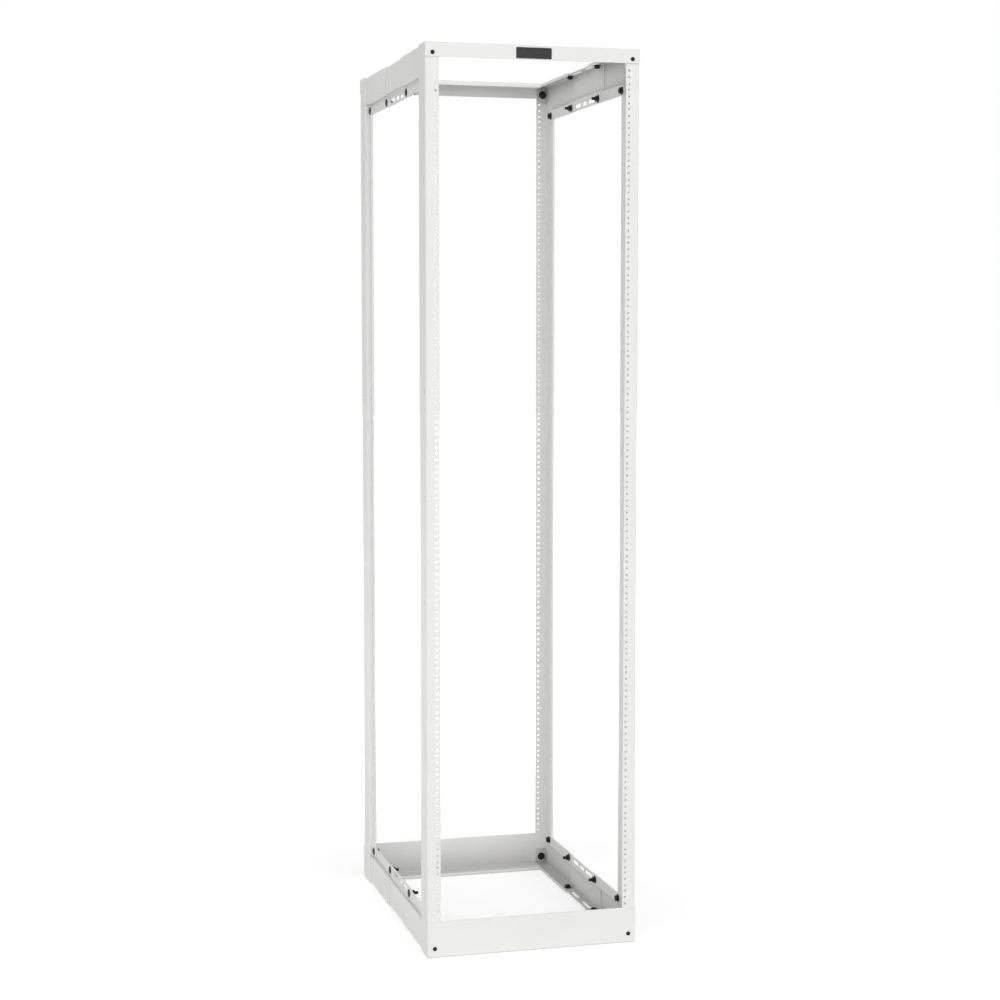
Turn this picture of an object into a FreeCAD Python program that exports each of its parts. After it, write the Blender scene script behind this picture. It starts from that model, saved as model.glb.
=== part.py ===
import FreeCAD, Part
import math
import os
from FreeCAD import Vector

# Four post open frame rack for 19 inch equipment, 45 rack units high.
# Millimetres. X runs to the right, Y from the front to the back, Z up.
# The origin is on the floor, at the centre of the footprint.

# Overall size. The clear opening and the flanges beside it give the width.
EQUIPMENT_OPENING = 450.0
FLANGE_WIDTH = 32.8
RACK_DEPTH = 762.0
RACK_HEIGHT = 2133.6

# Sheet steel, folded
STEEL = 2.7
BEND_INSIDE = 1.8
RUNNING_GAP = 0.2

# Equipment mounting holes, three to a rack unit, beside the opening
RACK_UNIT = 44.45
FIRST_UNIT_GAP = 3.0
UNIT_HOLE_OFFSETS = (6.35, 22.225, 38.1)
EQUIPMENT_HOLE = 5.5
EQUIPMENT_HOLE_EDGE = 7.55

# Posts, each folded from one sheet: mounting flange, web, lip and leg
POST_DEPTH = 70.0
LIP_WIDTH = 10.3
LEG_WIDTH = 25.0
LEG_HOLE = 6.5
LEG_HOLE_EDGE = 10.0
LEG_HOLE_END_UNITS = 2
NOTCH_CLEARANCE = 2.0

# Holes and short slots in the webs of the posts, placed in rack units
WEB_HOLE = 6.0
WEB_HOLE_INSETS = (17.0, 51.0)
WEB_HOLE_UNITS = (0.3, 3.1, 27.1, 41.2)
WEB_SLOT_LENGTH = 12.0
WEB_SLOT_UNITS = (5.0, 17.0, 22.5, 28.0, 35.7, 40.0, 43.0)

# Bars and panels across the front and the back
CROSSBAR_HEIGHT = 33.3
BASE_PANEL_HEIGHT = 87.0
CROSSBAR_LIP = 11.5
BASE_PANEL_LIP = 9.5
SHELF_END_GAP = 1.5

# Side rails, made of two brackets and a splice nested inside them
RAIL_FLANGE_WIDTH = 38.0
RAIL_FLANGE_LIP = 9.0
RAIL_PLATE_HEIGHT = 72.0
RAIL_BAND_HEIGHT = 25.8
RAIL_BEND = 6.0
BAND_BOLT_EDGE = 10.8
SPLICE_FLANGE_STEP = 5.0
SPLICE_CENTRE = -9.0
SPLICE_LENGTH = 250.0
SPLICE_BOLT_EDGE = 12.0
BRACKET_BOLT_EDGE = 25.0
BAND_END_INSET = 66.0
TAB_WIDTH = 31.0
TAB_HEIGHT = 46.0

# Slots in the splice
SLOT_HEIGHT = 10.0
MIDDLE_SLOT_LENGTH = 38.0
BAND_SLOT_GAP = 10.0
BAND_SLOT_END = 3.0
FLANGE_SLOT_GAP = 30.0
FLANGE_SLOT_END = 3.0

# Bolts with round heads and flanged nuts
BOLT = 8.0
BOLT_CLEARANCE = 0.5
BOLT_HEAD = 20.0
BOLT_HEAD_HEIGHT = 3.5
BOLT_RECESS = 0.5
NUT_FLANGE = 20.0
NUT_FLANGE_HEIGHT = 2.0
NUT_ACROSS_FLATS = 13.0
NUT_SIDES = 6
NUT_HEIGHT = 8.0
SPLICE_BOLT_END = 9.0
SHORT_BOLT_END = 1.0
FLANGE_BOLT_INSET = 22.0

# Screws at the corners, through bar, post and bracket
CORNER_SCREW_HEAD = 10.0
CORNER_SCREW_HEAD_HEIGHT = 3.0
CORNER_SCREW_END = 3.0
CORNER_SCREW_INSET = 17.5
TOP_SCREW_DROP = 23.7
BOTTOM_SCREW_HEIGHT = 22.5

# Plain plate on the front crossbar
NAMEPLATE_WIDTH = 85.0
NAMEPLATE_HEIGHT = 25.5
NAMEPLATE_THICKNESS = 1.2
NAMEPLATE_DROP = 18.3

# How far a cutter reaches past the faces that it cuts
OVERCUT = 1.0

# Places worked out from the sizes above
RACK_WIDTH = EQUIPMENT_OPENING + 2 * FLANGE_WIDTH
HALF_WIDTH = RACK_WIDTH / 2
HALF_DEPTH = RACK_DEPTH / 2
EQUIPMENT_HOLE_X = EQUIPMENT_OPENING / 2 + EQUIPMENT_HOLE_EDGE
FIRST_UNIT_BOTTOM = BASE_PANEL_HEIGHT + FIRST_UNIT_GAP
UNIT_COUNT = math.floor((RACK_HEIGHT - CROSSBAR_HEIGHT - FIRST_UNIT_BOTTOM) / RACK_UNIT)
LEG_END = POST_DEPTH + LEG_WIDTH
LEG_CENTRE = POST_DEPTH + LEG_WIDTH / 2
BAND_INSET = LIP_WIDTH + STEEL
BAND_BOLT_LINE = RAIL_PLATE_HEIGHT + RAIL_BAND_HEIGHT - BAND_BOLT_EDGE
SPLICE_BOLT_OFFSET = SPLICE_LENGTH / 2 - SPLICE_BOLT_EDGE
BRACKET_OFFSET = SPLICE_BOLT_OFFSET - BRACKET_BOLT_EDGE
BOLT_HOLE = BOLT + 2 * BOLT_CLEARANCE
PANEL_AND_POST = 2 * STEEL
RAIL_END_INSET = PANEL_AND_POST + RUNNING_GAP
SIDES = {"left": -1, "right": 1}
ENDS = {"front": -1, "rear": 1}
LEVELS = {"bottom": -1, "top": 1}


def offset_corners(points, distance):
    """Corner points of a path moved sideways, to the left of its direction."""
    moved = []
    last = len(points) - 1
    for index, point in enumerate(points):
        ahead = (points[min(index + 1, last)] - points[min(index, last - 1)]).normalize()
        behind = (points[max(index, 1)] - points[max(index - 1, 0)]).normalize()
        left_ahead = Vector(-ahead.y, ahead.x, 0)
        left_behind = Vector(-behind.y, behind.x, 0)
        share = 1 + left_ahead.dot(left_behind)
        moved.append(point + (left_ahead + left_behind) * (distance / share))
    return moved


def path_edges(points, radii):
    """Straight runs joined by tangent arcs, one radius for each inner corner."""
    edges = []
    start = points[0]
    for index in range(1, len(points) - 1):
        corner = points[index]
        before = (points[index - 1] - corner).normalize()
        after = (points[index + 1] - corner).normalize()
        half_angle = before.getAngle(after) / 2
        radius = radii[index - 1]
        reach = radius / math.tan(half_angle)
        entry = corner + before * reach
        leave = corner + after * reach
        bisector = (before + after).normalize()
        middle = corner + bisector * (radius / math.sin(half_angle) - radius)
        edges.append(Part.LineSegment(start, entry).toShape())
        edges.append(Part.Arc(entry, middle, leave).toShape())
        start = leave
    edges.append(Part.LineSegment(start, points[-1]).toShape())
    return edges


def strip_face(corners, radii, near, far):
    """Section of folded sheet between two offsets of one path.

    A positive radius belongs to a corner that turns left, where an offset
    tightens the bend, and a negative one to a corner that turns right.
    """
    points = [Vector(across, along, 0) for across, along in corners]
    sides = []
    for distance in (near, far):
        bends = [radius - distance if radius > 0 else distance - radius for radius in radii]
        sides.append((offset_corners(points, distance), bends))
    (near_points, near_bends), (far_points, far_bends) = sides
    edges = path_edges(near_points, near_bends)
    edges.append(Part.LineSegment(near_points[-1], far_points[-1]).toShape())
    edges.extend(path_edges(far_points, far_bends))
    edges.append(Part.LineSegment(far_points[0], near_points[0]).toShape())
    return Part.Face(Part.Wire(Part.__sortEdges__(edges)))


def box(low, high):
    """Box between two corners, given in any order."""
    low_corner = Vector(*(min(pair) for pair in zip(low, high)))
    high_corner = Vector(*(max(pair) for pair in zip(low, high)))
    size = high_corner - low_corner
    return Part.makeBox(size.x, size.y, size.z, low_corner)


def rod(diameter, start, end):
    """Round bar from one point to another."""
    run = Vector(*end) - Vector(*start)
    return Part.makeCylinder(diameter / 2, run.Length, Vector(*start), run)


def slot_cutter(width, length, start, end, along):
    """Round ended slot through the sheet from start to end, long in one direction."""
    spread = Vector(*along) * ((length - width) / 2)
    first = rod(width, Vector(*start) - spread, Vector(*end) - spread)
    second = rod(width, Vector(*start) + spread, Vector(*end) + spread)
    depth = Vector(*end) - Vector(*start)
    across = Vector(*along).cross(depth).normalize() * (width / 2)
    corners = [
        Vector(*start) - spread - across,
        Vector(*start) + spread - across,
        Vector(*start) + spread + across,
        Vector(*start) - spread + across,
    ]
    middle = Part.Face(Part.makePolygon(corners + corners[:1])).extrude(depth)
    return first.fuse([middle, second]).removeSplitter()


def side_x(side, inset):
    """X of a point that lies an inset inwards from the left or right side."""
    return SIDES[side] * (HALF_WIDTH - inset)


def end_y(end, inset):
    """Y of a point that lies an inset inwards from the front or rear face."""
    return ENDS[end] * (HALF_DEPTH - inset)


def level_z(level, inset):
    """Z of a point that lies an inset inwards from the floor or the top."""
    return RACK_HEIGHT - inset if level == "top" else inset


def placed(shape, side="left", end="front", level="bottom"):
    """Mirror a shape that is modelled at the left, front and bottom of the rack."""
    if side == "right":
        shape = shape.mirror(Vector(0, 0, 0), Vector(1, 0, 0))
    if end == "rear":
        shape = shape.mirror(Vector(0, 0, 0), Vector(0, 1, 0))
    if level == "top":
        shape = shape.mirror(Vector(0, 0, RACK_HEIGHT / 2), Vector(0, 0, 1))
    return shape


def unit_height(units):
    """Height of a number of rack units above the first one's lower edge."""
    return FIRST_UNIT_BOTTOM + units * RACK_UNIT


def corner_screw_height(level):
    """Height of the corner screws at the top or the bottom."""
    return RACK_HEIGHT - TOP_SCREW_DROP if level == "top" else BOTTOM_SCREW_HEIGHT


def face_drill(diameter, place_x, end, height, depth):
    """Cutter for a hole into the front or the rear face."""
    start = (place_x, end_y(end, -OVERCUT), height)
    return rod(diameter, start, (place_x, end_y(end, depth + OVERCUT), height))


def side_drill(width, length, side, insets, place_y, height, along):
    """Cutter for a hole or slot along X, between two insets from the side."""
    near, far = insets
    start = (side_x(side, near - OVERCUT), place_y, height)
    finish = (side_x(side, far + OVERCUT), place_y, height)
    if length > width:
        return slot_cutter(width, length, start, finish, along)
    return rod(width, start, finish)


def equipment_hole_cutters(side, end):
    """Cutters for the column of equipment mounting holes."""
    place_x = SIDES[side] * EQUIPMENT_HOLE_X
    cutters = []
    for unit in range(UNIT_COUNT):
        for offset in UNIT_HOLE_OFFSETS:
            height = unit_height(unit) + offset
            cutters.append(face_drill(EQUIPMENT_HOLE, place_x, end, height, PANEL_AND_POST))
    return cutters


def leg_hole_cutters(side, end):
    """Cutters for the column of small holes in the leg, one to a rack unit."""
    place_y = end_y(end, LEG_END - LEG_HOLE_EDGE)
    insets = (LIP_WIDTH, BAND_INSET)
    cutters = []
    for unit in range(LEG_HOLE_END_UNITS, UNIT_COUNT - LEG_HOLE_END_UNITS):
        height = unit_height(unit)
        cutters.append(side_drill(LEG_HOLE, LEG_HOLE, side, insets, place_y, height, (0, 0, 1)))
    return cutters


def web_cutters(side, end):
    """Cutters for the pairs of holes and the short slots in the web."""
    places = []
    for units in WEB_HOLE_UNITS:
        for inset in WEB_HOLE_INSETS:
            places.append((units, inset, WEB_HOLE))
    for units in WEB_SLOT_UNITS:
        places.append((units, WEB_HOLE_INSETS[0], WEB_SLOT_LENGTH))
    cutters = []
    for units, inset, length in places:
        if units < UNIT_COUNT:
            place_y = end_y(end, inset)
            height = unit_height(units)
            cutters.append(side_drill(WEB_HOLE, length, side, (0, STEEL), place_y, height, (0, 0, 1)))
    return cutters


def post(side, end):
    """Folded corner post with its holes and the notches for the rails."""
    bend = BEND_INSIDE + STEEL
    corners = [
        (FLANGE_WIDTH, STEEL),
        (0, STEEL),
        (0, POST_DEPTH),
        (LIP_WIDTH, POST_DEPTH),
        (LIP_WIDTH, LEG_END),
    ]
    face = strip_face(corners, [-bend, -bend, BEND_INSIDE], -STEEL, 0)
    face = face.translated(Vector(-HALF_WIDTH, -HALF_DEPTH, 0))
    solid = placed(face.extrude(Vector(0, 0, RACK_HEIGHT)), side, end)

    cutters = equipment_hole_cutters(side, end) + leg_hole_cutters(side, end) + web_cutters(side, end)
    notch_start = end_y(end, POST_DEPTH - bend - STEEL)
    notch_end = end_y(end, LEG_END + OVERCUT)
    screw_x = side_x(side, CORNER_SCREW_INSET)
    bolt_y = end_y(end, LEG_CENTRE)
    insets = (LIP_WIDTH, BAND_INSET)
    for level in LEVELS:
        notch_height = level_z(level, RAIL_PLATE_HEIGHT + NOTCH_CLEARANCE)
        low = (side_x(side, STEEL), notch_start, level_z(level, -OVERCUT))
        high = (side_x(side, BAND_INSET + OVERCUT), notch_end, notch_height)
        cutters.append(box(low, high))
        cutters.append(face_drill(BOLT_HOLE, screw_x, end, corner_screw_height(level), PANEL_AND_POST))
        height = level_z(level, BAND_BOLT_LINE)
        cutters.append(side_drill(BOLT_HOLE, BOLT_HOLE, side, insets, bolt_y, height, (0, 0, 1)))
    return solid.cut(cutters)


def cross_member(end, level, height, lip):
    """Face plate across the rack with a folded shelf and lip between the rails."""
    shelf_inset = RAIL_FLANGE_WIDTH + SHELF_END_GAP
    bend = BEND_INSIDE + STEEL
    corners = [
        (0, height),
        (0, 0),
        (POST_DEPTH, 0),
        (POST_DEPTH, lip),
    ]
    face = strip_face(corners, [bend, bend], 0, STEEL)
    turn_third = 120
    face = face.rotated(Vector(0, 0, 0), Vector(1, 1, 1), turn_third)
    face = face.translated(Vector(-HALF_WIDTH, -HALF_DEPTH, 0))
    solid = placed(face.extrude(Vector(RACK_WIDTH, 0, 0)), "left", end, level)
    cutters = []
    for side in SIDES:
        low = (side_x(side, -OVERCUT), end_y(end, STEEL), level_z(level, -OVERCUT))
        high = (side_x(side, shelf_inset), end_y(end, POST_DEPTH + OVERCUT), level_z(level, height + OVERCUT))
        cutters.append(box(low, high))
        screw_x = side_x(side, CORNER_SCREW_INSET)
        cutters.append(face_drill(BOLT_HOLE, screw_x, end, corner_screw_height(level), STEEL))
    return solid.cut(cutters)


def rail_length(side, level, near, far, flange_width, lip, first_y, last_y):
    """Length of side rail between two offsets of the rail's outer face."""
    plate = STEEL + RUNNING_GAP
    band = BAND_INSET + RUNNING_GAP
    corners = [
        (flange_width, 0),
        (plate, 0),
        (plate, RAIL_PLATE_HEIGHT),
        (band, RAIL_PLATE_HEIGHT),
        (band, RAIL_PLATE_HEIGHT + RAIL_BAND_HEIGHT),
    ]
    radii = [-RAIL_BEND, -RAIL_BEND, BEND_INSIDE]
    if lip:
        corners.insert(0, (flange_width, lip))
        radii.insert(0, -BEND_INSIDE - STEEL)
    face = strip_face(corners, radii, -far, -near)
    face = face.rotated(Vector(0, 0, 0), Vector(1, 0, 0), 90)
    face = face.translated(Vector(-HALF_WIDTH, min(first_y, last_y), 0))
    return placed(face.extrude(Vector(0, abs(last_y - first_y), 0)), side, "front", level)


def band_hole(side, level, place_y, length=BOLT_HOLE, width=BOLT_HOLE):
    """Cutter for a hole or slot through the band of a rail."""
    insets = (BAND_INSET, BAND_INSET + 2 * (STEEL + RUNNING_GAP))
    return side_drill(width, length, side, insets, place_y, level_z(level, BAND_BOLT_LINE), (0, 1, 0))


def flange_hole(side, level, place_y, length=BOLT_HOLE, width=BOLT_HOLE):
    """Cutter for a hole or slot through the horizontal flange of a rail."""
    place_x = side_x(side, FLANGE_BOLT_INSET)
    start = (place_x, place_y, level_z(level, -OVERCUT))
    finish = (place_x, place_y, level_z(level, 2 * STEEL + RUNNING_GAP + OVERCUT))
    if length > width:
        return slot_cutter(width, length, start, finish, (0, 1, 0))
    return rod(width, start, finish)


def rail_bracket(side, level, end):
    """Half of a side rail that is bolted to a post, with its end tab."""
    inner_y = SPLICE_CENTRE + ENDS[end] * BRACKET_OFFSET
    outer_y = end_y(end, RAIL_END_INSET)
    solid = rail_length(side, level, 0, STEEL, RAIL_FLANGE_WIDTH, RAIL_FLANGE_LIP, inner_y, outer_y)
    rail_height = RAIL_PLATE_HEIGHT + RAIL_BAND_HEIGHT
    band_end = box(
        (side_x(side, 0), end_y(end, BAND_END_INSET), level_z(level, RAIL_PLATE_HEIGHT - RAIL_BEND)),
        (side_x(side, RAIL_FLANGE_WIDTH), end_y(end, 0), level_z(level, rail_height + OVERCUT)),
    )
    tab = box(
        (side_x(side, 2 * STEEL), outer_y, level_z(level, STEEL / 2)),
        (side_x(side, STEEL + TAB_WIDTH), outer_y - ENDS[end] * STEEL, level_z(level, TAB_HEIGHT)),
    )
    solid = solid.cut(band_end).fuse(tab).removeSplitter()
    splice_y = SPLICE_CENTRE + ENDS[end] * SPLICE_BOLT_OFFSET
    screw_x = side_x(side, CORNER_SCREW_INSET)
    cutters = [
        band_hole(side, level, splice_y),
        band_hole(side, level, end_y(end, LEG_CENTRE)),
        flange_hole(side, level, splice_y),
        face_drill(BOLT_HOLE, screw_x, end, corner_screw_height(level), RAIL_END_INSET + STEEL),
    ]
    return solid.cut(cutters)


def rail_splice(side, level):
    """Slotted piece nested inside the two brackets of one side rail."""
    near = STEEL + RUNNING_GAP
    first_y = SPLICE_CENTRE - SPLICE_LENGTH / 2
    last_y = SPLICE_CENTRE + SPLICE_LENGTH / 2
    flange_width = RAIL_FLANGE_WIDTH - SPLICE_FLANGE_STEP
    solid = rail_length(side, level, near, near + STEEL, flange_width, 0, first_y, last_y)
    band_slot_start = MIDDLE_SLOT_LENGTH / 2 + BAND_SLOT_GAP
    band_slot_end = BRACKET_OFFSET - BAND_SLOT_END
    flange_slot_start = FLANGE_SLOT_GAP / 2
    flange_slot_end = BRACKET_OFFSET - FLANGE_SLOT_END
    cutters = [band_hole(side, level, SPLICE_CENTRE, MIDDLE_SLOT_LENGTH, SLOT_HEIGHT)]
    for direction in (-1, 1):
        bolt_y = SPLICE_CENTRE + direction * SPLICE_BOLT_OFFSET
        cutters.append(band_hole(side, level, bolt_y))
        cutters.append(flange_hole(side, level, bolt_y))
        slot_y = SPLICE_CENTRE + direction * (band_slot_start + band_slot_end) / 2
        cutters.append(band_hole(side, level, slot_y, band_slot_end - band_slot_start, SLOT_HEIGHT))
        slot_y = SPLICE_CENTRE + direction * (flange_slot_start + flange_slot_end) / 2
        cutters.append(flange_hole(side, level, slot_y, flange_slot_end - flange_slot_start, SLOT_HEIGHT))
    return solid.cut(cutters)


def hexagon_prism(centre, axis, across_flats, height):
    """Six sided prism that stands on a point and runs along an axis."""
    side = Vector(0, 1, 0) if axis.z else Vector(0, 0, 1)
    other = axis.cross(side)
    corner_reach = across_flats / math.sqrt(3)
    corners = []
    for step in range(NUT_SIDES + 1):
        angle = 2 * math.pi * step / NUT_SIDES
        across = side * (corner_reach * math.cos(angle))
        corners.append(centre + across + other * (corner_reach * math.sin(angle)))
    return Part.Face(Part.makePolygon(corners)).extrude(axis * height)


def bolt_with_nut(head_seat, nut_seat, head_size, head_height, shank_end):
    """Round headed bolt with a flanged hexagon nut, in one piece.

    The two seats are the points where the axis meets the faces that the
    head and the nut press on.
    """
    head_point = Vector(*head_seat)
    nut_point = Vector(*nut_seat)
    axis = (nut_point - head_point).normalize()
    head = Part.makeCylinder(head_size / 2, head_height, head_point, axis * -1)
    tip = nut_point + axis * (NUT_HEIGHT + shank_end)
    shank = Part.makeCylinder(BOLT / 2, (tip - head_point).Length, head_point, axis)
    flange = Part.makeCylinder(NUT_FLANGE / 2, NUT_FLANGE_HEIGHT, nut_point, axis)
    nut = hexagon_prism(nut_point, axis, NUT_ACROSS_FLATS, NUT_HEIGHT)
    return head.fuse([shank, flange, nut]).removeSplitter()


def flush_bolt(foot, nut_seat):
    """Threaded stud that starts inside the outer sheet, with a flanged nut on the inner one."""
    foot_point = Vector(*foot)
    nut_point = Vector(*nut_seat)
    axis = (nut_point - foot_point).normalize()
    tip = nut_point + axis * (NUT_HEIGHT + SHORT_BOLT_END)
    shank = Part.makeCylinder(BOLT / 2, (tip - foot_point).Length, foot_point, axis)
    flange = Part.makeCylinder(NUT_FLANGE / 2, NUT_FLANGE_HEIGHT, nut_point, axis)
    nut = hexagon_prism(nut_point, axis, NUT_ACROSS_FLATS, NUT_HEIGHT)
    return shank.fuse([flange, nut]).removeSplitter()


def rail_bolts(side, level):
    """The six bolts of one side rail."""
    bolts = []
    height = level_z(level, BAND_BOLT_LINE)
    band_outside = BAND_INSET + RUNNING_GAP
    for direction in (-1, 1):
        place_y = SPLICE_CENTRE + direction * SPLICE_BOLT_OFFSET
        head = (side_x(side, band_outside), place_y, height)
        nut = (side_x(side, band_outside + 2 * STEEL + RUNNING_GAP), place_y, height)
        bolts.append(bolt_with_nut(head, nut, BOLT_HEAD, BOLT_HEAD_HEIGHT, SPLICE_BOLT_END))
        place_x = side_x(side, FLANGE_BOLT_INSET)
        foot = (place_x, place_y, level_z(level, BOLT_RECESS))
        nut = (place_x, place_y, level_z(level, 2 * STEEL + RUNNING_GAP))
        bolts.append(flush_bolt(foot, nut))
    for end in ENDS:
        place_y = end_y(end, LEG_CENTRE)
        head = (side_x(side, LIP_WIDTH), place_y, height)
        nut = (side_x(side, band_outside + STEEL), place_y, height)
        bolts.append(bolt_with_nut(head, nut, BOLT_HEAD, BOLT_HEAD_HEIGHT, SHORT_BOLT_END))
    return bolts


def corner_screws(end):
    """The four screws at the corners of the front or the rear frame."""
    screws = []
    size = CORNER_SCREW_HEAD
    thickness = CORNER_SCREW_HEAD_HEIGHT
    for side in SIDES:
        for level in LEVELS:
            place_x = side_x(side, CORNER_SCREW_INSET)
            height = corner_screw_height(level)
            head = (place_x, end_y(end, 0), height)
            nut = (place_x, end_y(end, RAIL_END_INSET + STEEL), height)
            screws.append(bolt_with_nut(head, nut, size, thickness, CORNER_SCREW_END))
    return screws


def nameplate():
    """Bare plate fixed to the front crossbar."""
    centre = RACK_HEIGHT - NAMEPLATE_DROP
    low = (-NAMEPLATE_WIDTH / 2, end_y("front", -NAMEPLATE_THICKNESS), centre - NAMEPLATE_HEIGHT / 2)
    high = (NAMEPLATE_WIDTH / 2, end_y("front", 0), centre + NAMEPLATE_HEIGHT / 2)
    return box(low, high)


def build_rack():
    """All the pieces of the rack, by node name."""
    nodes = {}
    for end in ENDS:
        for side in SIDES:
            nodes[f"{end}_{side}_post"] = post(side, end)
        nodes[f"{end}_top_crossbar"] = cross_member(end, "top", CROSSBAR_HEIGHT, CROSSBAR_LIP)
        nodes[f"{end}_base_panel"] = cross_member(end, "bottom", BASE_PANEL_HEIGHT, BASE_PANEL_LIP)
        nodes[f"{end}_corner_screws"] = Part.makeCompound(corner_screws(end))
    for level in LEVELS:
        for side in SIDES:
            for end in ENDS:
                nodes[f"{level}_{side}_{end}_rail_bracket"] = rail_bracket(side, level, end)
            nodes[f"{level}_{side}_rail_splice"] = rail_splice(side, level)
            nodes[f"{level}_{side}_rail_bolts"] = Part.makeCompound(rail_bolts(side, level))
    nodes["nameplate"] = nameplate()
    return nodes


def main():
    """Build the rack and write one STEP file for each node."""
    os.makedirs("parts", exist_ok=True)
    for name, shape in build_rack().items():
        shape.exportStep(f"parts/{name}.step")
        print(name, len(shape.Solids), "solids", round(shape.Volume), "mm3", shape.isValid())


main()
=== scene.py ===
import logging
import math
from dataclasses import dataclass
from enum import Enum
from typing import Dict, List, Optional, Sequence, Tuple, Union

import bpy
import numpy as np
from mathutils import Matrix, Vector

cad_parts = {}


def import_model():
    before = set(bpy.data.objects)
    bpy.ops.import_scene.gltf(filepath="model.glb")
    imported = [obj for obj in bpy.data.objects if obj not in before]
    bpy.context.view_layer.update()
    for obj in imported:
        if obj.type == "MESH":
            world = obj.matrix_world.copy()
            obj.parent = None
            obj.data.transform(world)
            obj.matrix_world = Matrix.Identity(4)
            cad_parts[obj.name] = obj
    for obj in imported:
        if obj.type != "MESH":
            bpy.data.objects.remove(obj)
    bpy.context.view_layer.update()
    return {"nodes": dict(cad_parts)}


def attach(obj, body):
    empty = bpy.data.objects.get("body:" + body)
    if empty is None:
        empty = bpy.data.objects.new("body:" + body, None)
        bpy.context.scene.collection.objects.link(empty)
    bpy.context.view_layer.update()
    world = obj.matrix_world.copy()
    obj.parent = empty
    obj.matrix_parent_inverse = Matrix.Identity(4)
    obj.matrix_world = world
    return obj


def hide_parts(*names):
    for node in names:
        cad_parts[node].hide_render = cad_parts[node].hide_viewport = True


log = logging.getLogger("rack")

Number = Union[int, float]
Colour = Tuple[float, float, float]
Point = Tuple[float, float, float]
Pair = Tuple[float, float]
Key = Union[int, str]
Station = Tuple[float, float, float]
Face = Tuple[int, ...]
Shell = Tuple[np.ndarray, List[Face]]

BODY = "root"

# The rack's own sizes, in metres
HALF_WIDTH = 0.2578
HALF_DEPTH = 0.381
HEIGHT = 2.1336
STEEL = 0.0027
RUNNING_GAP = 0.0002

SHARP_ANGLE = math.radians(32)
QUARTER_TURN = math.pi / 2
HALF_HEXAGON_SIDE = math.pi / 6
UPRIGHT = 0.5

WHITE = (1.0, 1.0, 1.0)
EDGE_BAND = (0.01, 0.2)
BEVEL_SAMPLES = 6
OPENNESS_SAMPLES = 8
SHOWING_RAYS = ("Is Camera Ray", "Is Glossy Ray", "Is Transmission Ray")

# Numbers of the Mix node's colour sockets, whose names its other types share
MIX_FACTOR = 0
MIX_FIRST = 6
MIX_SECOND = 7
MIX_RESULT = 2


class Slot(Enum):
    """Material slots of the record."""

    WHITE_PAINT = "white_paint"
    BLACK_FASTENER = "black_fastener"
    BLACK_PLATE = "black_plate"


class Side(Enum):
    """Left and right side of the rack, with the sign of X there."""

    LEFT = -1
    RIGHT = 1


class End(Enum):
    """Front and rear face of the rack, with the sign of Y there."""

    FRONT = -1
    REAR = 1


class Level(Enum):
    """Side rails at the floor and at the top, with the sign of Z there."""

    BOTTOM = -1
    TOP = 1


def key(member: Enum) -> str:
    """Lower case name of a side, end or level, as the nodes spell it."""
    return member.name.lower()


# Shader graphs


class Socket:
    """Output socket of a shader node, on which arithmetic adds Math nodes."""

    def __init__(self, graph: "Graph", link: bpy.types.NodeSocket) -> None:
        """Keep the graph that the socket belongs to, and the socket."""
        self.graph = graph
        self.link = link

    def _maths(self, operation: str, first: "Value", second: "Value") -> "Socket":
        """Add one Math node.

        Args:
            operation: Name of the node's operation.
            first: First operand.
            second: Second operand.

        Returns:
            The node's result.
        """
        return self.graph.add("ShaderNodeMath", {"operation": operation}, {0: first, 1: second})

    def __add__(self, other: "Value") -> "Socket":
        """Sum."""
        return self._maths("ADD", self, other)

    def __radd__(self, other: "Value") -> "Socket":
        """Sum, with a number on the left."""
        return self._maths("ADD", other, self)

    def __rsub__(self, other: "Value") -> "Socket":
        """Difference, with a number on the left."""
        return self._maths("SUBTRACT", other, self)

    def __mul__(self, other: "Value") -> "Socket":
        """Product."""
        return self._maths("MULTIPLY", self, other)

    def __rmul__(self, other: "Value") -> "Socket":
        """Product, with a number on the left."""
        return self._maths("MULTIPLY", other, self)

    def clamped(self) -> "Socket":
        """The value held between 0 and 1."""
        return self.graph.add("ShaderNodeClamp", {}, {"Value": self})

    def ramp(self, low: float, high: float) -> "Socket":
        """Smooth step from 0 at low to 1 at high.

        Args:
            low: Value at which the step starts.
            high: Value at which the step ends.

        Returns:
            The step, from 0 to 1.
        """
        settings = {"interpolation_type": "SMOOTHSTEP"}
        values = {"Value": self, "From Min": low, "From Max": high}
        return self.graph.add("ShaderNodeMapRange", settings, values)


Value = Union[Number, Sequence[float], Socket]


@dataclass(frozen=True)
class Grain:
    """A noise in the rack's frame.

    The scale is in waves to a metre, the detail in octaves and the roughness
    the strength of the finer ones. The stretch narrows the features along an
    axis. A smooth step cuts the band out of the noise, where one is given.
    """

    scale: float
    detail: float
    roughness: float = 0.5
    stretch: Point = (1.0, 1.0, 1.0)
    band: Optional[Pair] = None


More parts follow.
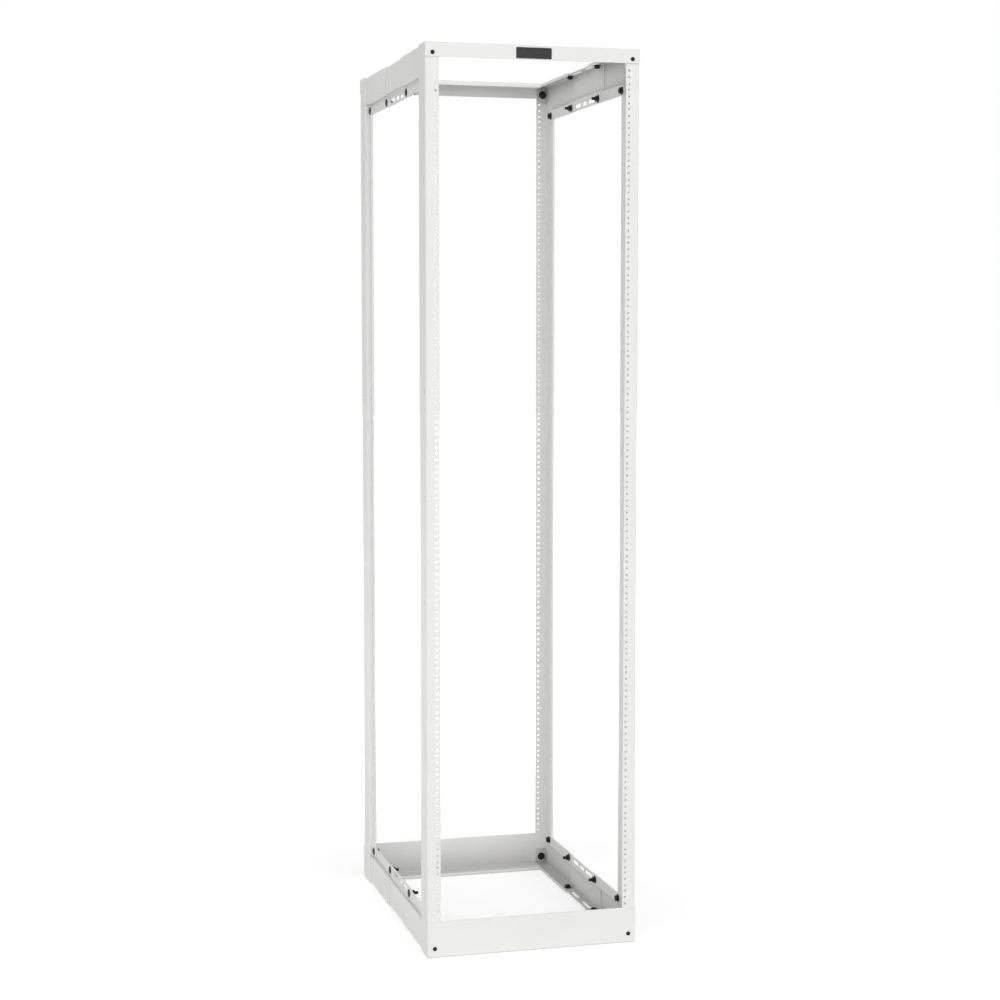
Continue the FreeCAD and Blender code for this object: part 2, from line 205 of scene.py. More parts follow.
class Graph:
    """Node tree of one material or of the world."""

    def __init__(self, owner: Union[bpy.types.Material, bpy.types.World]) -> None:
        """Empty the owner's tree.

        Args:
            owner: Material or world whose tree is built.
        """
        owner.use_nodes = True
        self.tree = owner.node_tree
        self.tree.nodes.clear()

    def node(
        self, kind: str, settings: Dict[str, object], values: Dict[Key, Value]
    ) -> bpy.types.Node:
        """Add any node.

        Args:
            kind: Type of the node.
            settings: Properties of the node, set before its sockets.
            values: Number, colour or socket for each named or numbered input.

        Returns:
            The new node.
        """
        made = self.tree.nodes.new(kind)
        for name, setting in settings.items():
            setattr(made, name, setting)
        for name, value in values.items():
            if isinstance(value, Socket):
                self.tree.links.new(value.link, made.inputs[name])
            else:
                made.inputs[name].default_value = value
        return made

    def add(
        self,
        kind: str,
        settings: Dict[str, object],
        values: Dict[Key, Value],
        output: Key = 0,
    ) -> Socket:
        """Add any node and give one of its outputs.

        Args:
            kind: Type of the node.
            settings: Properties of the node.
            values: Number, colour or socket for each input.
            output: Name or number of the output.

        Returns:
            The chosen output.
        """
        return Socket(self, self.node(kind, settings, values).outputs[output])

    def place(self) -> Socket:
        """Coordinates of the object, in metres in the rack's frame."""
        return self.add("ShaderNodeTexCoord", {}, {}, "Object")

    def noise(self, grain: Grain) -> Socket:
        """Noise in the rack's frame.

        Args:
            grain: Kind of noise.

        Returns:
            Noise between 0 and 1, or the step through its band.
        """
        at = self.add("ShaderNodeMapping", {}, {"Vector": self.place(), "Scale": grain.stretch})
        values = {
            "Vector": at,
            "Scale": grain.scale,
            "Detail": grain.detail,
            "Roughness": grain.roughness,
        }
        noise = self.add("ShaderNodeTexNoise", {}, values, "Fac")
        return noise.ramp(*grain.band) if grain.band else noise

    def blend(self, amount: Value, first: Value, second: Value) -> Socket:
        """Colour between two colours.

        Args:
            amount: Share of the second colour.
            first: First colour.
            second: Second colour.

        Returns:
            The mixed colour.
        """
        values = {MIX_FACTOR: amount, MIX_FIRST: first, MIX_SECOND: second}
        return self.add("ShaderNodeMix", {"data_type": "RGBA"}, values, MIX_RESULT)

    def dot(self, first: Value, second: Value) -> Socket:
        """Dot product of two directions."""
        settings = {"operation": "DOT_PRODUCT"}
        return self.add("ShaderNodeVectorMath", settings, {0: first, 1: second}, "Value")

    def edge_normal(self, radius: float) -> Socket:
        """Normal that is rounded near the edges.

        Args:
            radius: Width of the rounding in metres.

        Returns:
            The rounded normal.
        """
        return self.add("ShaderNodeBevel", {"samples": BEVEL_SAMPLES}, {"Radius": radius})

    def edges(self, rounded: Socket) -> Socket:
        """Mask of the edges: how far the rounded normal leaves the flat one.

        Args:
            rounded: Normal that is rounded near the edges.

        Returns:
            0 on flat metal, rising to 1 on an edge.
        """
        flat = self.add("ShaderNodeNewGeometry", {}, {}, "Normal")
        return (1 - self.dot(rounded, flat)).ramp(*EDGE_BAND)

    def openness(self, reach: float) -> Socket:
        """How open a place is, as the piece's own walls within reach leave it.

        Args:
            reach: Distance in metres over which walls count.

        Returns:
            1 in the open, down to 0 in a closed corner.
        """
        settings = {"samples": OPENNESS_SAMPLES, "only_local": True}
        return self.add("ShaderNodeAmbientOcclusion", settings, {"Distance": reach}, "AO")

    def relief(
        self, height: Socket, strength: float, depth: float, rounded: Optional[Socket] = None
    ) -> Socket:
        """Normal of a fine relief.

        Args:
            height: Height of the relief, from 0 to 1.
            strength: Share of the relief that shows.
            depth: Depth of the relief in metres.
            rounded: Normal that the relief bends, where it isn't the mesh's.

        Returns:
            The bent normal.
        """
        values = {"Height": height, "Strength": strength, "Distance": depth}
        if rounded is not None:
            values["Normal"] = rounded
        return self.add("ShaderNodeBump", {}, values)

    def shown(self) -> Socket:
        """1 on rays that show what they hit: from the camera, mirrored or let through."""
        seen = self.node("ShaderNodeLightPath", {}, {})
        direct, mirrored, through = (Socket(self, seen.outputs[ray]) for ray in SHOWING_RAYS)
        return (direct + mirrored + through).clamped()

    def coat(self, values: Dict[Key, Value]) -> None:
        """End the material's tree in a Principled shader.

        Args:
            values: Number, colour or socket for each of the shader's inputs.
        """
        shader = self.add("ShaderNodeBsdfPrincipled", {}, values)
        self.node("ShaderNodeOutputMaterial", {}, {"Surface": shader})


def rgba(colour: Colour) -> Tuple[float, float, float, float]:
    """Colour with full opacity."""
    return (*colour, 1.0)


@dataclass(frozen=True)
class PowderCoat:
    """White powder coat on folded steel: fine orange peel, faint handling marks, and a painted
    highlight that makes the edges paler.

    Recesses carry painted shade: the colour darkens by how much of the
    piece's own walls stand round the place, standing in for the shade there.
    """

    name: str = "white_powder_coat"
    bright: Colour = (0.83, 0.828, 0.817)
    dull: Colour = (0.812, 0.811, 0.801)
    pale: Colour = (0.9, 0.898, 0.89)
    # Colour of the painted shade in the deepest recesses.
    painted_recess_shade: Colour = (0.78, 0.778, 0.768)
    recess_reach: float = 0.11
    edge_radius: float = 0.0008
    # Share of the pale colour painted on the edges as a painted highlight.
    edge_painted_highlight: float = 0.55
    peel: Grain = Grain(scale=620.0, detail=2.0)
    flow: Grain = Grain(scale=124.0, detail=3.0)
    cloud: Grain = Grain(scale=4.5, detail=4.0, roughness=0.6, band=(0.35, 0.75))
    rubbing: Grain = Grain(scale=60.0, detail=3.0, stretch=(1.0, 1.0, 0.15), band=(0.62, 0.8))
    gloss: float = 0.46
    matt: float = 0.6
    cloud_matt: float = 0.5
    peel_matt: float = 0.3
    rubbing_matt: float = 0.2
    peel_height: float = 0.7
    flow_height: float = 0.3
    relief: float = 0.5
    relief_depth: float = 0.00006
    specular: float = 0.3

    def material(self) -> bpy.types.Material:
        """Build the material.

        Returns:
            The new material.
        """
        made = bpy.data.materials.new(self.name)
        graph = Graph(made)
        rounded = graph.edge_normal(self.edge_radius)
        edge = graph.edges(rounded)
        peel = graph.noise(self.peel)
        flow = graph.noise(self.flow)
        cloud = graph.noise(self.cloud)
        rubbed = graph.noise(self.rubbing)
        body = graph.blend(cloud, rgba(self.bright), rgba(self.dull))
        # Painted shade: the colour darkens in recesses, where the piece's own walls close in.
        coat = graph.blend(1 - graph.openness(self.recess_reach), body, rgba(self.painted_recess_shade))
        wear = self.cloud_matt * cloud + self.peel_matt * peel + self.rubbing_matt * rubbed
        height = self.peel_height * peel + self.flow_height * flow
        graph.coat({
            # Painted highlight: edges are painted paler, standing in for the light that rounded
            # edges catch.
            "Base Color": graph.blend(edge * self.edge_painted_highlight, coat, rgba(self.pale)),
            "Roughness": self.gloss + (self.matt - self.gloss) * wear,
            "Normal": graph.relief(height, self.relief, self.relief_depth, rounded),
            "Specular IOR Level": self.specular,
        })
        return made


@dataclass(frozen=True)
class BlackOxide:
    """Black oxide on steel fasteners: near black, slightly metallic, rubbed bright on the edges."""

    name: str = "black_oxide_steel"
    deep: Colour = (0.012, 0.012, 0.013)
    rubbed: Colour = (0.075, 0.073, 0.07)
    metallic: float = 0.55
    edge_radius: float = 0.0003
    grain: Grain = Grain(scale=2600.0, detail=2.0)
    blotch: Grain = Grain(scale=240.0, detail=3.0, band=(0.4, 0.7))
    edge_wear: float = 0.35
    blotch_wear: float = 0.65
    worn_brightness: float = 0.7
    blotch_brightness: float = 0.12
    gloss: float = 0.3
    matt: float = 0.52
    blotch_matt: float = 0.6
    grain_matt: float = 0.4
    relief: float = 0.35
    relief_depth: float = 0.00003

    def material(self) -> bpy.types.Material:
        """Build the material.

        Returns:
            The new material.
        """
        made = bpy.data.materials.new(self.name)
        graph = Graph(made)
        rounded = graph.edge_normal(self.edge_radius)
        edge = graph.edges(rounded)
        grain = graph.noise(self.grain)
        blotch = graph.noise(self.blotch)
        worn = (edge * (self.edge_wear + self.blotch_wear * blotch)).clamped()
        bare = worn * self.worn_brightness + blotch * self.blotch_brightness
        wear = self.blotch_matt * blotch + self.grain_matt * grain
        graph.coat({
            "Base Color": graph.blend(bare, rgba(self.deep), rgba(self.rubbed)),
            "Metallic": self.metallic,
            "Roughness": self.gloss + (self.matt - self.gloss) * wear,
            "Normal": graph.relief(grain, self.relief, self.relief_depth, rounded),
        })
        return made


@dataclass(frozen=True)
class SatinPlate:
    """Satin black face of the bare plate, with a fine brushed grain."""

    name: str = "satin_black_plate"
    deep: Colour = (0.011, 0.011, 0.012)
    light: Colour = (0.022, 0.022, 0.023)
    brushing: Grain = Grain(scale=900.0, detail=3.0, stretch=(0.04, 1.0, 1.0))
    mottle: Grain = Grain(scale=90.0, detail=3.0, band=(0.35, 0.7))
    brushed_light: float = 0.6
    mottle_light: float = 0.4
    gloss: float = 0.36
    matt: float = 0.5
    brushed_matt: float = 0.5
    mottle_matt: float = 0.5
    relief: float = 0.2
    relief_depth: float = 0.00004

    def material(self) -> bpy.types.Material:
        """Build the material.

        Returns:
            The new material.
        """
        made = bpy.data.materials.new(self.name)
        graph = Graph(made)
        brushed = graph.noise(self.brushing)
        mottle = graph.noise(self.mottle)
        lit = self.brushed_light * brushed + self.mottle_light * mottle
        wear = self.brushed_matt * brushed + self.mottle_matt * mottle
        graph.coat({
            "Base Color": graph.blend(lit, rgba(self.deep), rgba(self.light)),
            "Roughness": self.gloss + (self.matt - self.gloss) * wear,
            "Normal": graph.relief(brushed, self.relief, self.relief_depth),
        })
        return made


Finish = Union[PowderCoat, BlackOxide, SatinPlate]


class Surface(Enum):
    """Kinds of surface on the rack, each with a number of its own and its material slot."""

    # Both sheet kinds carry painted shade in recesses: faint on slender sheets, strong on deep
    # ones.
    SLENDER_SHEET = (1, Slot.WHITE_PAINT)
    DEEP_SHEET = (2, Slot.WHITE_PAINT)
    FASTENER = (3, Slot.BLACK_FASTENER)
    PLATE = (4, Slot.BLACK_PLATE)


class Finishes:
    """The finish of each kind of surface, built once and shared by the pieces."""

    def __init__(self, choice: Dict[Surface, Finish]) -> None:
        """Build the materials.

        Args:
            choice: Finish of each kind of surface.
        """
        self.materials = {surface: finish.material() for surface, finish in choice.items()}

    def dress(self, piece: bpy.types.Object, surface: Surface) -> None:
        """Give a piece its material.

        Args:
            piece: New piece or node of the frame.
            surface: Kind of surface that it has.
        """
        piece.data.materials.clear()
        piece.data.materials.append(self.materials[surface])


# Meshes


def ring_quads(index: np.ndarray) -> List[Face]:
    """Quads between closed rings of points.

    Args:
        index: Numbers of the points, one row for each ring.

    Returns:
        The quads, ring by ring.
    """
    ahead = np.roll(index, -1, axis=1)
    quads = np.stack([index[:-1], ahead[:-1], ahead[1:], index[1:]], axis=-1)
    return [tuple(quad) for quad in quads.reshape(-1, 4).tolist()]


@dataclass(frozen=True)
class Lathe:
    """Closed surface round an axis, whose sections may be round or six sided.

    Each station is (distance along the axis, radius, share of hexagon). A
    share of 0 gives a circle of that radius and 1 a hexagon of that apothem.
    """

    stations: np.ndarray
    columns: int = 48

    def radii(self, turn: np.ndarray) -> np.ndarray:
        """Radius at every station and angle.

        The hexagon's radius is its apothem over the cosine of the angle from
        the middle of the nearest side, and the share blends it with the circle.

        Args:
            turn: Angles round the axis.

        Returns:
            Array of radii, one row for each station.
        """
        from_middle = np.mod(turn + HALF_HEXAGON_SIDE, 2 * HALF_HEXAGON_SIDE) - HALF_HEXAGON_SIDE
        hexagon = 1 / np.cos(from_middle)
        radius = self.stations[:, 1:2]
        share = self.stations[:, 2:3]
        return radius * ((1 - share) + share * hexagon[None, :])

    def shell(self, seat: np.ndarray, axis: np.ndarray) -> Shell:
        """Points and faces of the closed surface.

        A point lies at the seat, plus the station's distance along the axis,
        plus its radius times the cosine and sine of its angle on the two
        directions across the axis. A pole closes each end.

        Args:
            seat: Point of the axis where the distance is 0.
            axis: Unit vector along which the distance grows.

        Returns:
            The points and the faces.
        """
        turn = np.linspace(0, 2 * math.pi, self.columns, endpoint=False)
        helper = (0.0, 0.0, 1.0) if abs(axis[2]) < UPRIGHT else (0.0, 1.0, 0.0)
        across = np.cross(axis, helper)
        across /= np.linalg.norm(across)
        other = np.cross(axis, across)
        circle = np.cos(turn)[:, None] * across + np.sin(turn)[:, None] * other
        radius = self.radii(turn)
        along = self.stations[:, 0][:, None, None] * axis
        rings = seat + along + radius[:, :, None] * circle[None]
        first_pole = seat + self.stations[0, 0] * axis
        last_pole = seat + self.stations[-1, 0] * axis
        points = np.vstack([rings.reshape(-1, 3), first_pole, last_pole])
        count = len(self.stations) * self.columns
        index = np.arange(count).reshape(-1, self.columns)
        ahead = np.roll(index, -1, axis=1)
        start = np.full(self.columns, count)
        caps = np.vstack([
            np.column_stack([start, ahead[0], index[0]]),
            np.column_stack([start + 1, index[-1], ahead[-1]]),
        ])
        return points, ring_quads(index) + [tuple(face) for face in caps.tolist()]


def make_piece(name: str, shells: Sequence[Shell]) -> bpy.types.Object:
    """Join closed surfaces into one object at the origin.

    Args:
        name: Name of the piece.
        shells: Points and faces of each closed surface in the piece.

    Returns:
        The new object, shaded smooth between its sharp edges.
    """
    points: List[np.ndarray] = []
    faces: List[Face] = []
    shift = 0
    for shell_points, shell_faces in shells:
        points.append(shell_points)
        faces.extend(tuple(corner + shift for corner in face) for face in shell_faces)
        shift += len(shell_points)
    mesh = bpy.data.meshes.new(name)
    mesh.from_pydata(np.vstack(points).tolist(), [], faces)
    mesh.update()
    mesh.polygons.foreach_set("use_smooth", [True] * len(mesh.polygons))
    mesh.set_sharp_from_angle(angle=SHARP_ANGLE)
    mesh.validate()
    piece = bpy.data.objects.new(name, mesh)
    bpy.context.scene.collection.objects.link(piece)
    return piece


def stand_in(
    node: str, shells: Sequence[Shell], finishes: Finishes, surface: Surface
) -> bpy.types.Object:
    """Make a piece that rides on the rack and stands for one node of the frame.

    Args:
        node: Name of the node.
        shells: Points and faces of each closed surface in the piece.
        finishes: Finishes of the rack.
        surface: Kind of surface that the piece has.

    Returns:
        The new piece.
    """
    piece = make_piece(f"{node}_fitted", shells)
    finishes.dress(piece, surface)
    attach(piece, BODY)
    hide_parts(node)
    return piece


# Fasteners


@dataclass(frozen=True)
class Fastener:
    """Round headed bolt or headless stud, with a flanged nut. Sizes in metres.

    The profiles are rows of small steps. A row of the socket's is (share of
    its depth, share of its apothem, share of hexagon). A row of the flange's
    rim is (distance from the seat, distance in from its radius). The rows
    above it are (distance from the flange, or down from the nut's top, share
    of the nut's apothem, share of hexagon).
    """

    head: float = 0.020
    head_height: float = 0.0035
    rim_share: float = 0.22
    dome_steps: int = 8
    shank: float = 0.008
    socket: float = 0.005
    socket_depth: float = 0.0022
    socket_mouth: float = 1.18
    mouth_hexagon: float = 0.3
    socket_profile: Tuple[Station, ...] = ((1.0, 0.55, 0.0), (0.8, 1.0, 1.0), (0.12, 1.0, 1.0))
    broken_edge: float = 0.0003
    stud_bevel: float = 0.0004
    nut_flange: float = 0.020
    nut_flange_height: float = 0.002
    nut_width: float = 0.013
    nut_height: float = 0.008
    rim_profile: Tuple[Pair, ...] = (
        (0.0, 0.0003), (0.0003, 0.0), (0.0009, 0.0), (0.0012, 0.0003)
    )
    side_profile: Tuple[Station, ...] = ((0.0, 1.16, 0.15), (0.0003, 1.0, 1.0))
    top_profile: Tuple[Station, ...] = ((0.0011, 1.0, 1.0), (0.0004, 1.03, 0.35), (0.0, 0.95, 0.0))
    countersink: float = 0.0006
    countersink_depth: float = 0.0005
    end: float = 0.009
    chamfer: float = 0.0012
    chamfer_limit: float = 0.6
    tip_share: float = 0.2
    tip_shoulder: float = 0.0011
    tip_depth: float = 0.0016
    pitch: float = 0.00125
    thread_depth: float = 0.00055
    steps_to_turn: int = 4
    fewest_steps: int = 2

    def head_stations(self) -> List[Station]:
        """Stations from the bottom of the socket over the dome to the seat.

        The dome is a quarter of an ellipse: its radius follows the sine and
        its height the cosine of the same angle, above a short straight rim.

        Returns:
            Stations of the head.
        """
        half = self.head / 2
        rim = self.rim_share * self.head_height
        dome = self.head_height - rim
        apothem = self.socket / 2
        mouth = apothem * self.socket_mouth
        angles = np.linspace(math.asin(mouth / half), QUARTER_TURN, self.dome_steps)
        crown = -(rim + dome * np.cos(angles))
        stations = [
            (crown[0] + self.socket_depth * depth, apothem * size, hexagon)
            for depth, size, hexagon in self.socket_profile
        ]
        stations.append((crown[0], mouth, self.mouth_hexagon))
        stations += [
            (depth, half * math.sin(angle), 0.0) for depth, angle in zip(crown[1:], angles[1:])
        ]
        stations.append((-self.broken_edge, half, 0.0))
        stations.append((0.0, half - self.broken_edge, 0.0))
        return stations

    def thread_stations(self, start: float, finish: float) -> List[Station]:
        """Stations of a thread: the radius swings between crest and root.

        The radius follows the cosine of the distance over the pitch.

        Args:
            start: Distance at which the thread starts.
            finish: Distance at which it ends in a chamfer.

        Returns:
            Stations of the thread.
        """
        chamfer = min(self.chamfer, self.chamfer_limit * (finish - start))
        length = finish - chamfer - start
        count = max(self.fewest_steps, int(length / self.pitch * self.steps_to_turn))
        along = np.linspace(0, length, count + 1)
        crest = self.shank / 2
        swing = 0.5 - 0.5 * np.cos(2 * math.pi * along / self.pitch)
        radius = crest - self.thread_depth * swing
        stations = [(start + step, size, 0.0) for step, size in zip(along, radius)]
        stations.append((finish - self.tip_share * chamfer, crest - self.tip_shoulder, 0.0))
        stations.append((finish, crest - self.tip_depth, 0.0))
        return stations

    def nut_stations(self, seat: float) -> List[Station]:
        """Stations of the flanged nut: a sloping flange, six sides and a chamfer.

        Args:
            seat: Distance of the face that the nut presses on.

        Returns:
            Stations of the nut, from the shank back to the shank.
        """
        apothem = self.nut_width / 2
        flange = self.nut_flange / 2
        bore = self.shank / 2
        flange_top = seat + self.nut_flange_height
        top = seat + self.nut_height
        stations = [(seat, bore, 0.0)]
        stations += [(seat + rise, flange - inset, 0.0) for rise, inset in self.rim_profile]
        stations += [
            (flange_top + rise, apothem * size, hexagon)
            for rise, size, hexagon in self.side_profile
        ]
        stations += [
            (top - drop, apothem * size, hexagon) for drop, size, hexagon in self.top_profile
        ]
        stations.append((top, bore + self.countersink, 0.0))
        stations.append((top - self.countersink_depth, bore, 0.0))
        return stations

    def shell(self, foot: Point, nut_seat: Point, has_head: bool) -> Shell:
        """Bolt or stud with its nut, as one closed surface.

        Args:
            foot: Point of the axis under the head, or where a stud starts.
            nut_seat: Point of the axis under the nut.
            has_head: Whether a head closes the shank, or a plain stud end.

        Returns:
            Points and faces.
        """
        seat = np.array(foot, float)
        run = np.array(nut_seat, float) - seat
        grip = float(np.linalg.norm(run))
        top = grip + self.nut_height
        radius = self.shank / 2
        if has_head:
            stations = self.head_stations() + [(0.0, radius, 0.0)]
        else:
            stations = [(0.0, radius - self.stud_bevel, 0.0), (self.stud_bevel, radius, 0.0)]
        stations += self.nut_stations(grip)
        stations += self.thread_stations(top, top + self.end)
        return Lathe(np.array(stations)).shell(seat, run / grip)


# Sub-assemblies


@dataclass
class SheetFrame:
    """Folded sheets of the rack: posts, crossbars, base panels, rail brackets and splices."""

    finishes: Finishes
    nodes: Dict[str, bpy.types.Object]

    def surfaces(self) -> Dict[str, Surface]:
        """Kind of surface of every node that is folded from sheet.

        Posts and crossbars are slender, with a faint painted shade in their recesses.
        The base panels and the side rails are the deep folds, with a strong painted shade in
        theirs.

        Returns:
            The kind of surface by node name, posts and crossbars first.
        """
        slender: List[str] = []
        deep: List[str] = []
        for end in End:
            slender += [f"{key(end)}_{key(side)}_post" for side in Side]
            slender.append(f"{key(end)}_top_crossbar")
            deep.append(f"{key(end)}_base_panel")
        for level in Level:
            for side in Side:
                deep += [f"{key(level)}_{key(side)}_{key(end)}_rail_bracket" for end in End]
                deep.append(f"{key(level)}_{key(side)}_rail_splice")
        found = {name: Surface.SLENDER_SHEET for name in slender}
        found.update({name: Surface.DEEP_SHEET for name in deep})
        return found

    def build(self) -> List[bpy.types.Object]:
        """Dress every folded sheet.

        Returns:
            The dressed nodes.
        """
        dressed = []
        for name, surface in self.surfaces().items():
            self.finishes.dress(self.nodes[name], surface)
            dressed.append(self.nodes[name])
        return dressed


@dataclass
class RailBolts:
    """Bolts of the side rails. Sizes in metres, from the faces that they press on.

    Two long bolts join the splice to the brackets and two short ones the
    brackets to the posts, through the band. Two studs pass the flange, with
    their feet inside the outer sheet.
    """

    finishes: Finishes
    lip: float = 0.0103
    band_height: float = 0.087
    splice_centre: float = -0.009
    splice_reach: float = 0.113
    post_inset: float = 0.0825
    flange_inset: float = 0.022
    flange_recess: float = 0.0005
    bolt: Fastener = Fastener()
    short_bolt: Fastener = Fastener(end=0.001)

    def across(self, side: Side, inset: float) -> float:
        """X of a point an inset inwards from the side."""
        return side.value * (HALF_WIDTH - inset)

    def up(self, level: Level, inset: float) -> float:
        """Z of a point an inset inwards from the floor or the top."""
        return HEIGHT - inset if level is Level.TOP else inset

    def rail(self, level: Level, side: Side) -> bpy.types.Object:
        """The six bolts of one rail.

        Args:
            level: Rail at the floor or at the top.
            side: Left or right rail.

        Returns:
            The new piece.
        """
        outside = self.lip + STEEL + RUNNING_GAP
        inside = outside + 2 * STEEL + RUNNING_GAP
        z = self.up(level, self.band_height)
        shells = []
        for end in End:
            y = self.splice_centre + end.value * self.splice_reach
            head = (self.across(side, outside), y, z)
            nut = (self.across(side, inside), y, z)
            shells.append(self.bolt.shell(head, nut, True))
            x = self.across(side, self.flange_inset)
            foot = (x, y, self.up(level, self.flange_recess))
            nut = (x, y, self.up(level, 2 * STEEL + RUNNING_GAP))
            shells.append(self.short_bolt.shell(foot, nut, False))
            y = end.value * (HALF_DEPTH - self.post_inset)
            head = (self.across(side, self.lip), y, z)
            nut = (self.across(side, outside + STEEL), y, z)
            shells.append(self.short_bolt.shell(head, nut, True))
        name = f"{key(level)}_{key(side)}_rail_bolts"
        return stand_in(name, shells, self.finishes, Surface.FASTENER)

    def build(self) -> List[bpy.types.Object]:
        """Bolts of the four rails."""
        return [self.rail(level, side) for level in Level for side in Side]


@dataclass
class CornerScrews:
    """Screws through bar, post and bracket at the corners. Sizes in metres."""

    finishes: Finishes
    inset: float = 0.0175
    top_drop: float = 0.0237
    bottom_height: float = 0.0225
    grip: float = 0.0083
    screw: Fastener = Fastener(
        head=0.010, head_height=0.003, socket=0.004, socket_depth=0.0018, end=0.003
    )

    def frame(self, end: End) -> bpy.types.Object:
        """The four screws of the front or the rear face.

        Args:
            end: Front or rear.

        Returns:
            The new piece.
        """
        shells = []
        for side in Side:
            for z in (HEIGHT - self.top_drop, self.bottom_height):
                x = side.value * (HALF_WIDTH - self.inset)
                head = (x, end.value * HALF_DEPTH, z)
                nut = (x, end.value * (HALF_DEPTH - self.grip), z)
                shells.append(self.screw.shell(head, nut, True))
        name = f"{key(end)}_corner_screws"
        return stand_in(name, shells, self.finishes, Surface.FASTENER)

    def build(self) -> List[bpy.types.Object]:
        """Screws of both faces."""
        return [self.frame(end) for end in End]


@dataclass
class Nameplate:
    """Bare plate on the front crossbar, with round corners and a softened edge. Sizes in metres."""

    finishes: Finishes
    width: float = 0.085
    height: float = 0.0255
    thickness: float = 0.0012
    corner: float = 0.0022
    softening: float = 0.0004
    centre_z: float = 2.1153
    face_y: float = -HALF_DEPTH
    corner_steps: int = 8
    edge_steps: int = 4

    def outline(self, inset: float) -> np.ndarray:
        """Rounded rectangle, drawn inwards by an inset.

        Each corner's points lie on a quarter circle round the corner's own
        centre, and the four quarters follow each other round the plate.

        Args:
            inset: Distance in from the plate's outline.

        Returns:
            Points across and up, anticlockwise.
        """
        angles = np.linspace(0, QUARTER_TURN, self.corner_steps)
        quarters = np.arange(4)[:, None] * QUARTER_TURN + angles[None, :]
        middle_x = (self.width / 2 - self.corner) * np.array([1, -1, -1, 1])[:, None]
        middle_z = (self.height / 2 - self.corner) * np.array([1, 1, -1, -1])[:, None]
        radius = self.corner - inset
        x = middle_x + radius * np.cos(quarters)
        z = middle_z + radius * np.sin(quarters)
        return np.stack([x, z], axis=-1).reshape(-1, 2)

    def build(self) -> List[bpy.types.Object]:
        """Build the plate from its back edge over the softened rim to its face.

        Returns:
            The new piece.
        """
        turn = np.linspace(0, QUARTER_TURN, self.edge_steps)
        insets = self.softening * (1 - np.cos(turn))
        rises = self.thickness - self.softening * (1 - np.sin(turn))
        rings = []
        for inset, rise in zip([0.0, *insets], [0.0, *rises]):
            ring = self.outline(inset)
            flat = np.full(len(ring), self.face_y - rise)
            rings.append(np.column_stack([ring[:, 0], flat, self.centre_z + ring[:, 1]]))
        index = np.arange(len(rings) * len(rings[0])).reshape(len(rings), -1)
        faces = ring_quads(index)
        faces.append(tuple(index[-1].tolist()))
        faces.append(tuple(index[0][::-1].tolist()))
        shell = (np.vstack(rings), faces)
        return [stand_in("nameplate", [shell], self.finishes, Surface.PLATE)]


# Studio


@dataclass(frozen=True)
class Lamp:
    """Soft rectangular lamp, aimed at a point. Metres and watts."""

    name: str
    place: Point
    target: Point
    width: float
    height: float
    power: float

    def build(self) -> bpy.types.Object:
        """Add the lamp.

        Returns:
            The lamp's object.
        """
        data = bpy.data.lights.new(self.name, "AREA")
        data.shape = "RECTANGLE"
        data.size = self.width
        data.size_y = self.height
        data.energy = self.power
        lamp = bpy.data.objects.new(self.name, data)
        lamp.location = self.place
        aim = Vector(self.target) - Vector(self.place)
        lamp.rotation_euler = aim.to_track_quat("-Z", "Y").to_euler()
        lamp.visible_camera = False
        bpy.context.scene.collection.objects.link(lamp)
        return lamp


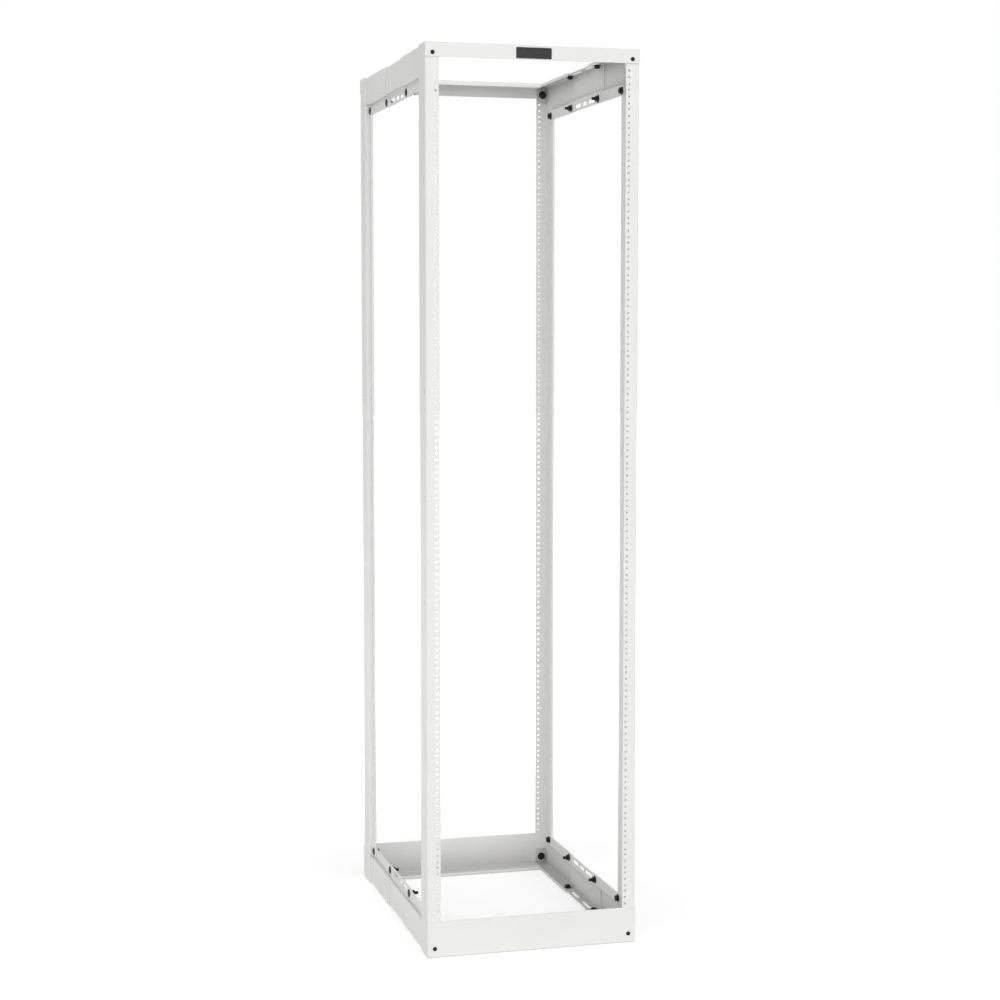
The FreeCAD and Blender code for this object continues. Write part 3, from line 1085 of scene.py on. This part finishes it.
@dataclass
class Studio:
    """Pale floor, pale surroundings that are brighter in front, a low lamp and the camera.

    The floor's glow, as the camera sees it, grows from floor_lift by
    floor_rise over the distances in floor_fade, which are in metres.
    """

    camera_place: Point = (-1.3141, -4.9552, 1.4764)
    yaw: float = math.radians(15.085)
    pitch: float = math.radians(-4.749)
    lens: float = 73.19
    sensor: float = 36.0
    sight: float = 100.0
    floor_size: float = 60.0
    floor_colour: Colour = (0.76, 0.76, 0.76)
    floor_lift: float = 0.45
    floor_rise: float = 0.8
    floor_fade: Pair = (0.6, 2.6)
    surroundings: float = 0.24
    front_light: float = 1.74
    back_light: float = 0.6
    front: Point = (0.0, -1.0, 0.0)
    lamp: Lamp = Lamp(
        name="left_low_lamp",
        place=(-1.6, -0.35, 0.24),
        target=(0.0, -0.3, 0.12),
        width=1.6,
        height=0.4,
        power=3.2,
    )

    def floor(self) -> bpy.types.Object:
        """Pale floor that keeps the rack's shadow and fades into the surroundings.

        Returns:
            The floor's object.
        """
        half = self.floor_size / 2
        mesh = bpy.data.meshes.new("studio_floor")
        corners = [(-half, -half, 0), (half, -half, 0), (half, half, 0), (-half, half, 0)]
        mesh.from_pydata(corners, [], [(0, 1, 2, 3)])
        piece = bpy.data.objects.new("studio_floor", mesh)
        bpy.context.scene.collection.objects.link(piece)
        made = bpy.data.materials.new("pale_floor")
        graph = Graph(made)
        matt = graph.add("ShaderNodeBsdfDiffuse", {}, {"Color": rgba(self.floor_colour)})
        settings = {"operation": "LENGTH"}
        away = graph.add("ShaderNodeVectorMath", settings, {0: graph.place()}, "Value")
        lift = self.floor_lift + self.floor_rise * away.ramp(*self.floor_fade)
        glow = graph.add("ShaderNodeEmission", {}, {"Color": rgba(WHITE), "Strength": lift})
        lit = graph.add("ShaderNodeAddShader", {}, {0: matt, 1: glow})
        surface = graph.add("ShaderNodeMixShader", {}, {0: graph.shown(), 1: matt, 2: lit})
        graph.node("ShaderNodeOutputMaterial", {}, {"Surface": surface})
        piece.data.materials.append(made)
        return piece

    def world(self) -> None:
        """Surroundings: white where the camera sees them, a soft light for everything else.

        The light on the rack is even. More comes from the front, and a little
        more from behind, with the cosine of the angle from either, and no
        more than the even light from the sides.
        """
        world = bpy.data.worlds.new("studio")
        bpy.context.scene.world = world
        graph = Graph(world)
        shown = graph.shown()
        towards = graph.add("ShaderNodeTexCoord", {}, {}, "Generated")
        facing = graph.dot(towards, self.front)
        ahead = self.front_light * facing.clamped()
        behind = self.back_light * (-1 * facing).clamped()
        light = self.surroundings + ahead + behind
        strength = light + (1 - light) * shown
        back = graph.add("ShaderNodeBackground", {}, {"Color": rgba(WHITE), "Strength": strength})
        graph.node("ShaderNodeOutputWorld", {}, {"Surface": back})

    def camera(self) -> bpy.types.Object:
        """Camera at the angle of the view.

        Returns:
            The camera's object.
        """
        data = bpy.data.cameras.new("studio_camera")
        data.lens = self.lens
        data.sensor_width = self.sensor
        data.clip_end = self.sight
        camera = bpy.data.objects.new("studio_camera", data)
        camera.location = self.camera_place
        ahead = Vector((
            math.sin(self.yaw) * math.cos(self.pitch),
            math.cos(self.yaw) * math.cos(self.pitch),
            math.sin(self.pitch),
        ))
        camera.rotation_euler = ahead.to_track_quat("-Z", "Y").to_euler()
        bpy.context.scene.collection.objects.link(camera)
        bpy.context.scene.camera = camera
        return camera

    def build(self) -> None:
        """Set up the whole studio."""
        self.floor()
        self.world()
        self.lamp.build()
        self.camera()
        bpy.context.scene.view_settings.view_transform = "Standard"


def main() -> None:
    """Build the studio and every sub-assembly, and report each piece."""
    logging.basicConfig(level=logging.INFO, format="%(name)s: %(message)s")
    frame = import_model()
    finishes = Finishes({
        Surface.SLENDER_SHEET: PowderCoat(),
        # Deep folds get a much darker painted shade in their recesses.
        Surface.DEEP_SHEET: PowderCoat(
            name="white_powder_coat_thin_in_recesses", painted_recess_shade=(0.37, 0.37, 0.366)
        ),
        Surface.FASTENER: BlackOxide(),
        Surface.PLATE: SatinPlate(),
    })
    assemblies = [
        SheetFrame(finishes, frame["nodes"]),
        RailBolts(finishes),
        CornerScrews(finishes),
        Nameplate(finishes),
    ]
    for assembly in assemblies:
        for piece in assembly.build():
            faces = len(piece.data.polygons)
            log.info("%s: %s, %d faces", type(assembly).__name__, piece.name, faces)
    Studio().build()


if __name__ == "__main__":
    main()
